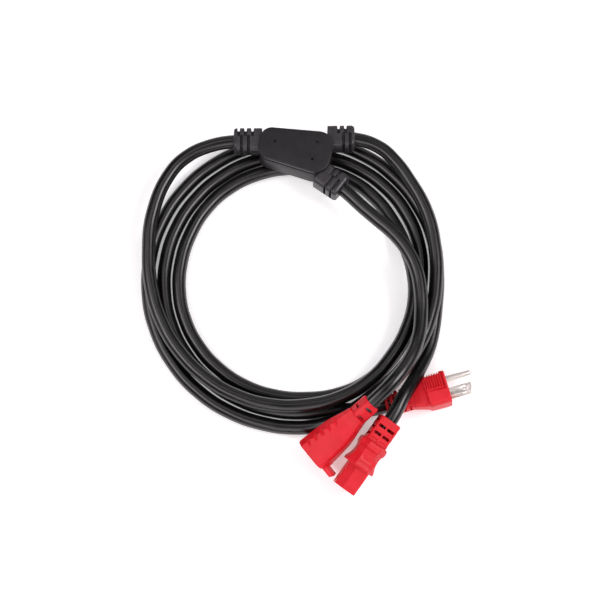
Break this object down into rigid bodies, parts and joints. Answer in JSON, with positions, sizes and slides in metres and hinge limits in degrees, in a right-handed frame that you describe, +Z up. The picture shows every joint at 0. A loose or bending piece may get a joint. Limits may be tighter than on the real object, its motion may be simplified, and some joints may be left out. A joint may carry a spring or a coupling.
{
  "type": "y splitter power cord set",
  "caption": "Coiled black power cord with a flat moulded splitter block, red grounded plug, red appliance inlet connector and red grounded socket.",
  "frame": {"origin": "under the middle of the hard pieces' bounding box, on the ground plane that the coil lies on", "axes": "+Z up from the ground plane, +Y from the plugs towards the splitter block, +X across the coil towards the plug's blades"},
  "size_m": [0.2607, 0.3053, 0.048],
  "materials": {
    "block_plastic": "fine matt texture",
    "relief_plastic": "satin moulded",
    "red_plastic": "satin moulded",
    "red_insert": "satin moulded",
    "carrier_plastic": "smooth",
    "potting": "smooth",
    "copper": "bright copper",
    "contact_brass": "bright",
    "blade_nickel": "nickel plated, bright",
    "cord_jacket": "glossy black"
  },
  "bodies": {
    "root": {"splitter_base": "block_plastic", "splitter_lid": "block_plastic", "splitter_core": "potting", "line_splice": "copper", "neutral_splice": "copper", "ground_splice": "copper", "trunk_relief": "relief_plastic", "upper_branch_relief": "relief_plastic", "lower_branch_relief": "relief_plastic", "plug_body": "red_plastic", "plug_relief": "red_plastic", "plug_insert": "carrier_plastic", "plug_line_blade": "blade_nickel", "plug_neutral_blade": "blade_nickel", "plug_ground_pin": "blade_nickel", "c13_body": "red_plastic", "c13_relief": "red_plastic", "c13_insert": "red_insert", "c13_line_contact": "contact_brass", "c13_neutral_contact": "contact_brass", "c13_ground_contact": "contact_brass", "socket_body": "red_plastic", "socket_relief": "red_plastic", "socket_insert": "red_insert", "socket_line_contact": "contact_brass", "socket_neutral_contact": "contact_brass", "socket_ground_contact": "contact_brass", "trunk_cord": "cord_jacket", "inlet_branch_cord": "cord_jacket", "socket_branch_cord": "cord_jacket"}
  },
  "joints": []
}
